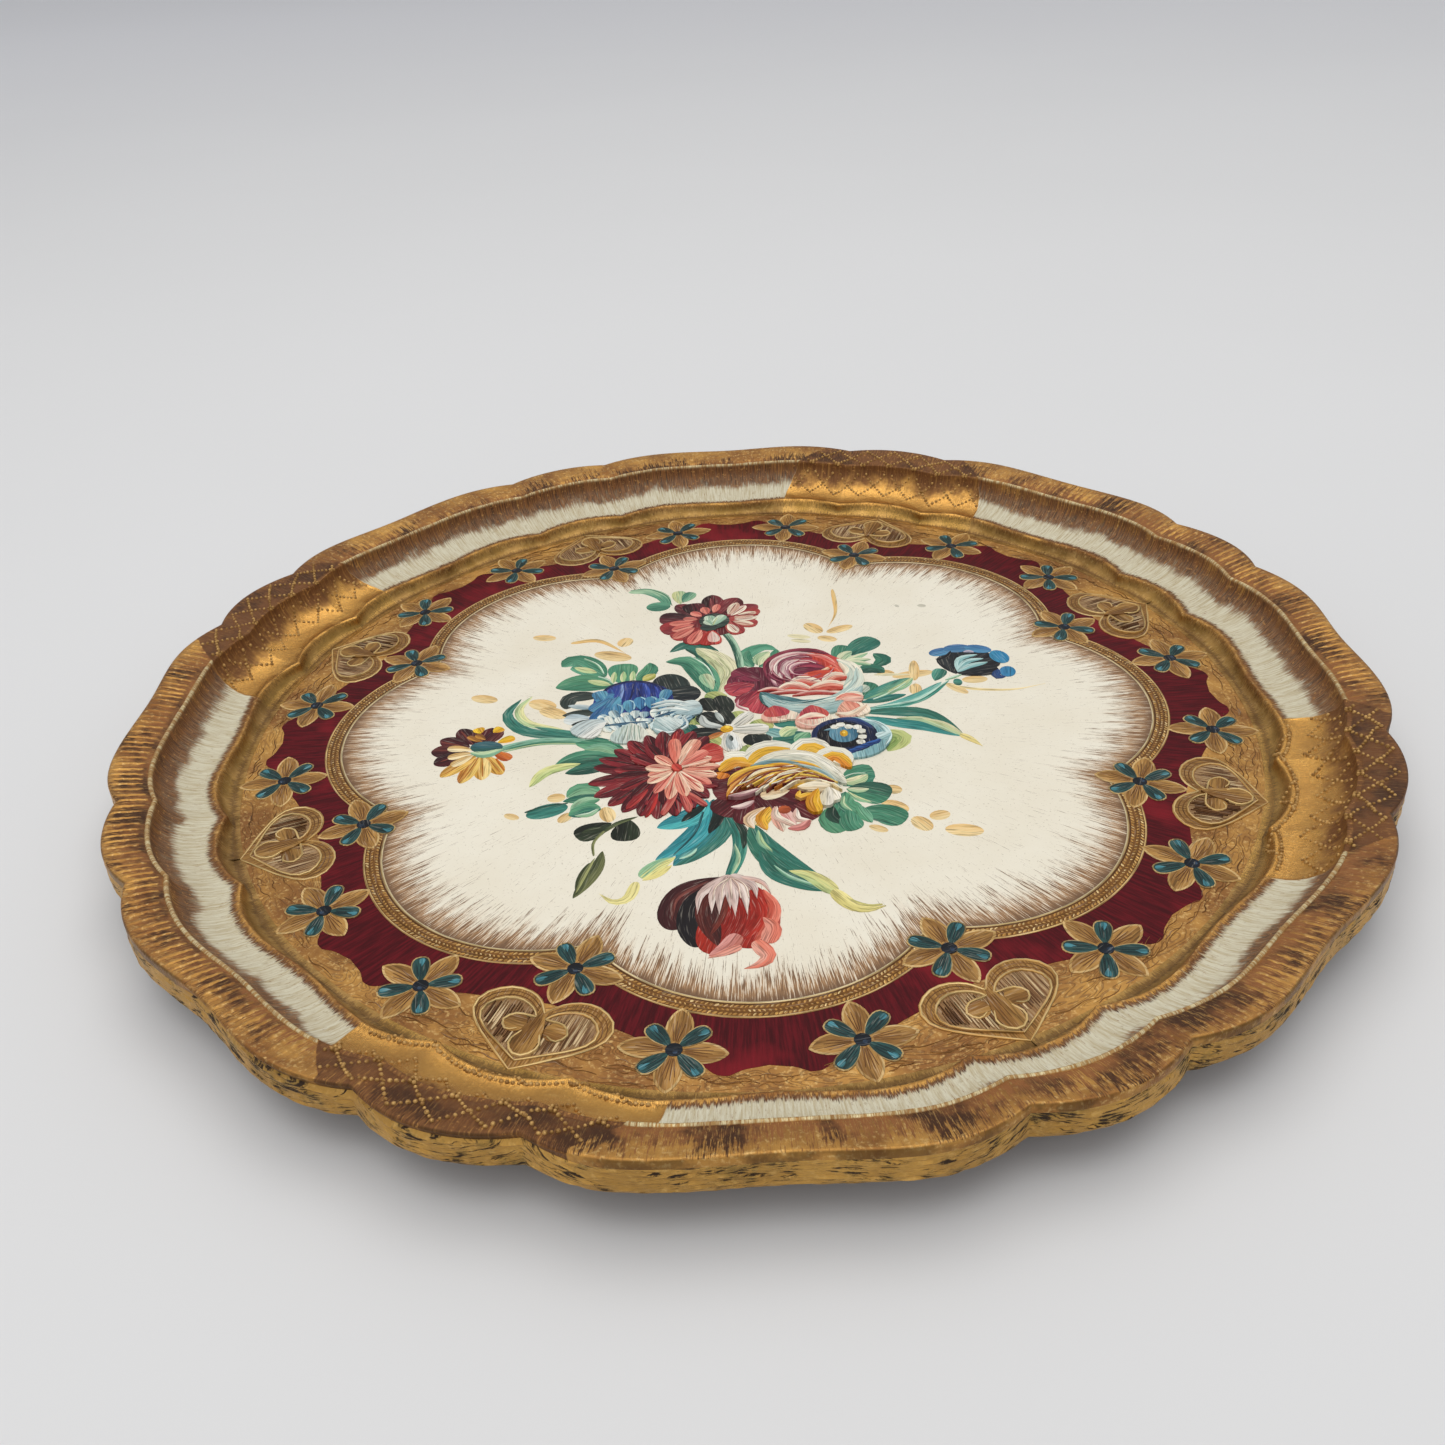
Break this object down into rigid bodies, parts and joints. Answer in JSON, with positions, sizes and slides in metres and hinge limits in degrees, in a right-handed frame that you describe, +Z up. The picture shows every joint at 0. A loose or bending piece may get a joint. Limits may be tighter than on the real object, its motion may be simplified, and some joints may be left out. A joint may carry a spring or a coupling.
{
  "type": "serving tray",
  "caption": "Round shallow tray of gilded and painted wood: a flat panel with painted flowers inside a flared, moulded rim with a scalloped edge",
  "frame": {"origin": "centre of the underside, on the surface that the tray rests on", "axes": "+Z up out of the well; +X and +Y lie in the plane of the field, each through the middle of a wide wave of the outline"},
  "size_m": [0.3788, 0.3788, 0.0242],
  "materials": {
    "painted_panel": "gesso and paint under a satin varnish, cream ground with a burgundy and gilt border and a painted bouquet",
    "rim_wood": "worn gold leaf over dark ground on the side, bare stained wood underneath",
    "gilded_capping": "gesso and antiqued gold leaf with pale painted panels, satin"
  },
  "bodies": {
    "root": {"base_panel": "painted_panel", "rim_block_1": "rim_wood", "rim_block_2": "rim_wood", "rim_block_3": "rim_wood", "rim_block_4": "rim_wood", "rim_block_5": "rim_wood", "rim_block_6": "rim_wood", "rim_block_7": "rim_wood", "rim_block_8": "rim_wood", "rim_capping_1": "gilded_capping", "rim_capping_2": "gilded_capping", "rim_capping_3": "gilded_capping", "rim_capping_4": "gilded_capping"}
  },
  "joints": []
}
